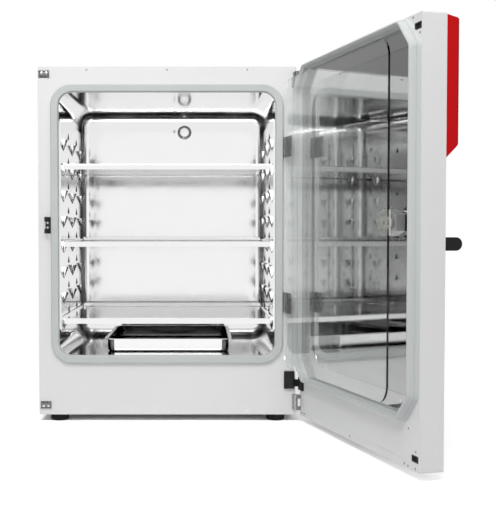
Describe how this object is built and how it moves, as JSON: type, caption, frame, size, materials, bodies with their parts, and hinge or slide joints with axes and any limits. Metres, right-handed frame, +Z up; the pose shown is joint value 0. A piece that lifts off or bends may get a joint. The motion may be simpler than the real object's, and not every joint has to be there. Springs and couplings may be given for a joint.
{
  "type": "laboratory incubator",
  "caption": "Floor-standing laboratory incubator with an insulated outer door, an inner glass door, perforated shelves on side panels and a water tray.",
  "frame": {"origin": "centre of the cabinet's underside, on the lower face of its base panel", "axes": "+Z up, +Y towards the rear panel, +X towards the hinge side, to the right as seen from the front"},
  "size_m": [1.037, 1.46, 1.02],
  "materials": {
    "white_paint": "satin powder coat",
    "grey_steel": "galvanised sheet",
    "insulation": "mineral wool",
    "heater_foil": "silicone foil",
    "stainless": "electropolished",
    "polished_steel": "mirror polished",
    "grey_silicone": "soft matt",
    "white_silicone": "soft matt",
    "red_plastic": "fine texture",
    "display_glass": "gloss",
    "black_plastic": "matt",
    "black_rubber": "matt",
    "hinge_steel": "satin",
    "bright_metal": "bright",
    "clear_glass": "polished",
    "electronics_case": "galvanised sheet",
    "brass": "satin"
  },
  "bodies": {
    "cabinet": {"housing_side_left": "white_paint", "housing_side_right": "white_paint", "housing_top": "white_paint", "front_frame": "white_paint", "hinge_covers": "white_paint", "housing_rear": "grey_steel", "housing_base": "grey_steel", "cabinet_insulation": "insulation", "heating_foils": "heater_foil", "chamber_liner": "stainless", "side_support_panel_left": "stainless", "side_support_panel_right": "stainless", "sensor_probe": "stainless", "port_sleeve": "stainless", "chamber_gasket": "white_silicone", "foot_front_left": "black_rubber", "foot_front_right": "black_rubber", "foot_rear_left": "black_rubber", "foot_rear_right": "black_rubber", "cable_sleeve": "black_rubber", "glass_door_strike": "bright_metal", "cabinet_screws": "bright_metal", "door_hinge_base_lower": "hinge_steel", "door_hinge_base_upper": "hinge_steel", "door_hinge_pins": "hinge_steel", "glass_hinge_base_lower": "hinge_steel", "glass_hinge_base_upper": "hinge_steel", "glass_hinge_pins": "hinge_steel", "cable_box": "black_plastic", "mains_inlet": "black_plastic", "electronics_module": "electronics_case", "gas_fitting": "brass"},
    "outer_door": {"door_outer_shell": "white_paint", "door_inner_panel": "white_paint", "door_insulation": "insulation", "door_mirror_panel": "polished_steel", "door_seal": "grey_silicone", "control_housing": "red_plastic", "touch_display": "display_glass", "door_handle": "black_plastic", "door_hinge_sockets": "black_plastic", "cable_bracket": "black_plastic", "door_hinge_lugs_lower": "hinge_steel", "door_hinge_lugs_upper": "hinge_steel", "door_screws": "bright_metal"},
    "glass_door": {"glass_pane": "clear_glass", "glass_hinge_leaf_lower": "hinge_steel", "glass_hinge_leaf_upper": "hinge_steel", "latch_plate": "bright_metal"},
    "latch_knob": {"latch_knob": "bright_metal", "latch_tongue": "bright_metal"},
    "shelf_lower": {"shelf_lower": "stainless"},
    "shelf_middle": {"shelf_middle": "stainless"},
    "shelf_upper": {"shelf_upper": "stainless"},
    "water_tray": {"water_tray": "stainless"},
    "port_stopper": {"port_stopper": "white_silicone"}
  },
  "joints": [
    {"name": "outer_door_hinge", "type": "hinge", "parent": "cabinet", "child": "outer_door", "pos_m": [0.37, -0.36375, 0], "axis": [0, 0, 1], "range_deg": [-104.7, 25], "deforming": ["cable_sleeve"]},
    {"name": "glass_door_hinge", "type": "hinge", "parent": "cabinet", "child": "glass_door", "pos_m": [0.3418, -0.3722, 0], "axis": [0, 0, 1], "range_deg": [-104.7, 25]},
    {"name": "latch_knob_turn", "type": "hinge", "parent": "glass_door", "child": "latch_knob", "pos_m": [0.50466, -1.00954, 0.547], "axis": [0.9673, 0.2538, 0], "range_deg": [-35, 0]},
    {"name": "shelf_lower_slide", "type": "slide", "parent": "cabinet", "child": "shelf_lower", "axis": [0, -1, 0], "range_m": [0, 0.4]},
    {"name": "shelf_middle_slide", "type": "slide", "parent": "cabinet", "child": "shelf_middle", "axis": [0, -1, 0], "range_m": [0, 0.4]},
    {"name": "shelf_upper_slide", "type": "slide", "parent": "cabinet", "child": "shelf_upper", "axis": [0, -1, 0], "range_m": [0, 0.4]},
    {"name": "water_tray_slide", "type": "slide", "parent": "cabinet", "child": "water_tray", "axis": [0, -1, 0], "range_m": [0, 0.4]},
    {"name": "port_stopper_slide", "type": "slide", "parent": "cabinet", "child": "port_stopper", "axis": [0, -1, 0], "range_m": [0, 0.08]}
  ],
  "couplings": [
    {"joint": "glass_door_hinge", "follows": "outer_door_hinge", "ratio": 1}
  ]
}
